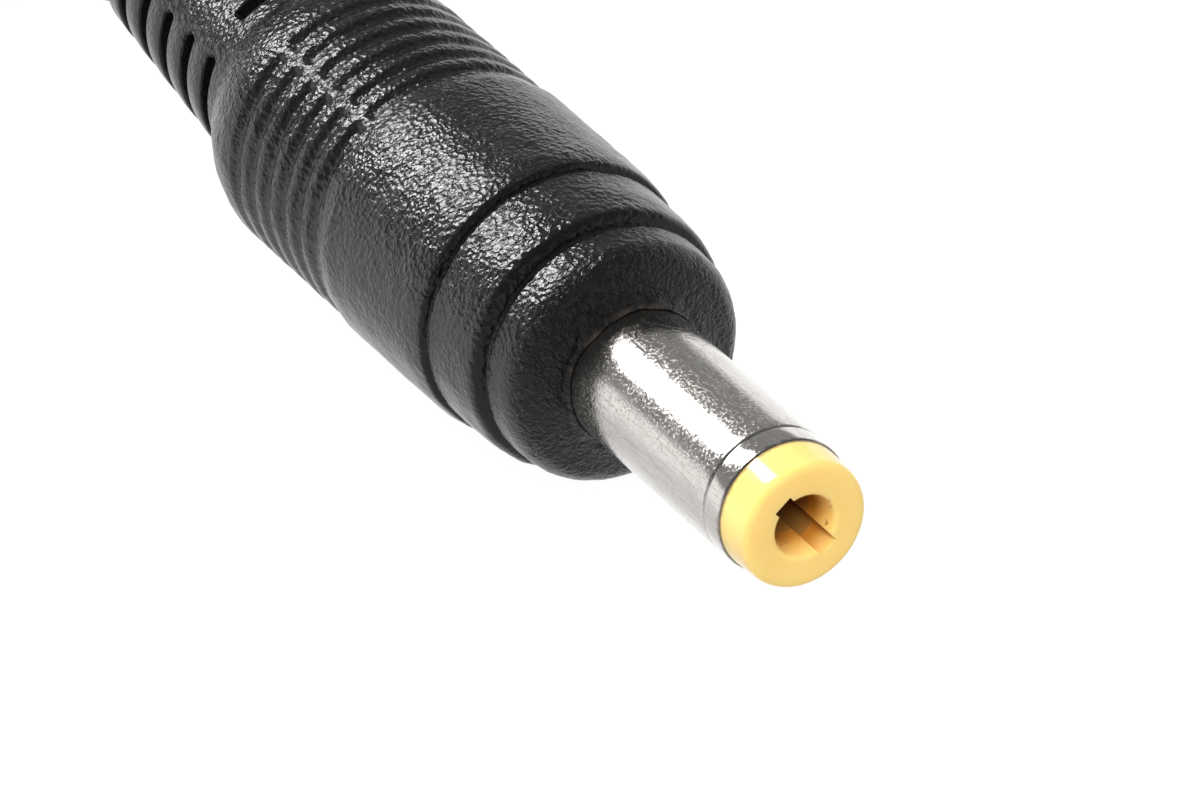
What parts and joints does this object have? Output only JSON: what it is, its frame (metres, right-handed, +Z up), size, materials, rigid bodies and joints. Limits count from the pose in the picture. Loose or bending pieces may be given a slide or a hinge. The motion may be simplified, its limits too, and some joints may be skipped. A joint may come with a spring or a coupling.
{
  "type": "laptop power adapter",
  "caption": "Laptop power adapter: black plastic brick with a mains inlet, a coiled round low-voltage cord and a barrel plug with a nickel sleeve and a slotted yellow tip.",
  "frame": {"origin": "centre of the brick's footprint, on the surface that its feet, the cord and the plug lie on", "axes": "+X along the brick from the cord end to the mains inlet, +Y towards the brick's back long side (the cord coil and the plug lie at -Y), +Z up"},
  "size_m": [0.1808, 0.1506, 0.0295],
  "materials": {
    "case_plastic": "black fine-textured ABS and polycarbonate",
    "inlet_plastic": "black satin nylon",
    "foot_rubber": "matt black rubber",
    "cord_jacket": "satin black flexible PVC",
    "plug_moulding": "black PVC with a leather-like moulded grain",
    "nickel": "nickel plating, lightly worn",
    "yellow_plastic": "satin golden yellow plastic",
    "contact_brass": "bare spring brass",
    "white_plastic": "natural white plastic",
    "board": "green glass-fibre laminate",
    "sheet": "insulating card and ceramic",
    "label_film": "blank grey label film",
    "ferrite": "dark grey ferrite",
    "copper": "enamelled copper wire",
    "tape": "yellow winding tape",
    "aluminium": "bare extruded aluminium",
    "black_epoxy": "black moulded epoxy",
    "can_sleeve": "dark blue shrink sleeve on a metal can",
    "film_case": "yellow plastic capacitor case",
    "disc_coating": "blue lacquer",
    "clear_plastic": "clear acrylic",
    "wire_red": "red wire insulation",
    "wire_blue": "blue wire insulation",
    "wire_black": "black wire insulation",
    "strap_fabric": "black woven hook-and-loop strap"
  },
  "bodies": {
    "root": {"case_top": "case_plastic", "case_bottom": "case_plastic", "foot_inlet_left": "foot_rubber", "foot_inlet_right": "foot_rubber", "foot_cord_left": "foot_rubber", "foot_cord_right": "foot_rubber", "rating_label_blank": "label_film", "ac_inlet_housing": "inlet_plastic", "inlet_pin_live": "nickel", "inlet_pin_neutral": "nickel", "inlet_pin_earth": "nickel", "circuit_board": "board", "insulation_sheet": "sheet", "fuse": "sheet", "x_capacitor": "film_case", "bridge_rectifier": "black_epoxy", "choke_core": "ferrite", "choke_winding_line": "copper", "choke_winding_neutral": "copper", "bulk_capacitor": "can_sleeve", "primary_heatsink": "aluminium", "switching_transistor": "black_epoxy", "controller_chip": "black_epoxy", "transformer_core": "ferrite", "transformer_winding": "tape", "y_capacitor": "disc_coating", "optocoupler": "black_epoxy", "secondary_heatsink": "aluminium", "rectifier_diode": "black_epoxy", "output_capacitor_1": "can_sleeve", "output_capacitor_2": "can_sleeve", "power_led": "clear_plastic", "light_pipe": "clear_plastic", "wire_live": "wire_red", "wire_neutral": "wire_blue", "wire_output_positive": "wire_red", "wire_output_negative": "wire_black", "dc_strain_relief": "cord_jacket", "dc_cord_brick_lead": "cord_jacket", "dc_cord_plug_lead": "cord_jacket", "dc_cord_coil": "cord_jacket", "cord_strap": "strap_fabric", "plug_overmould": "plug_moulding", "plug_barrel": "nickel", "plug_tip_insulator": "yellow_plastic", "plug_centre_contact": "contact_brass", "plug_core_insulator": "white_plastic", "plug_inner_moulding": "white_plastic"}
  },
  "joints": []
}
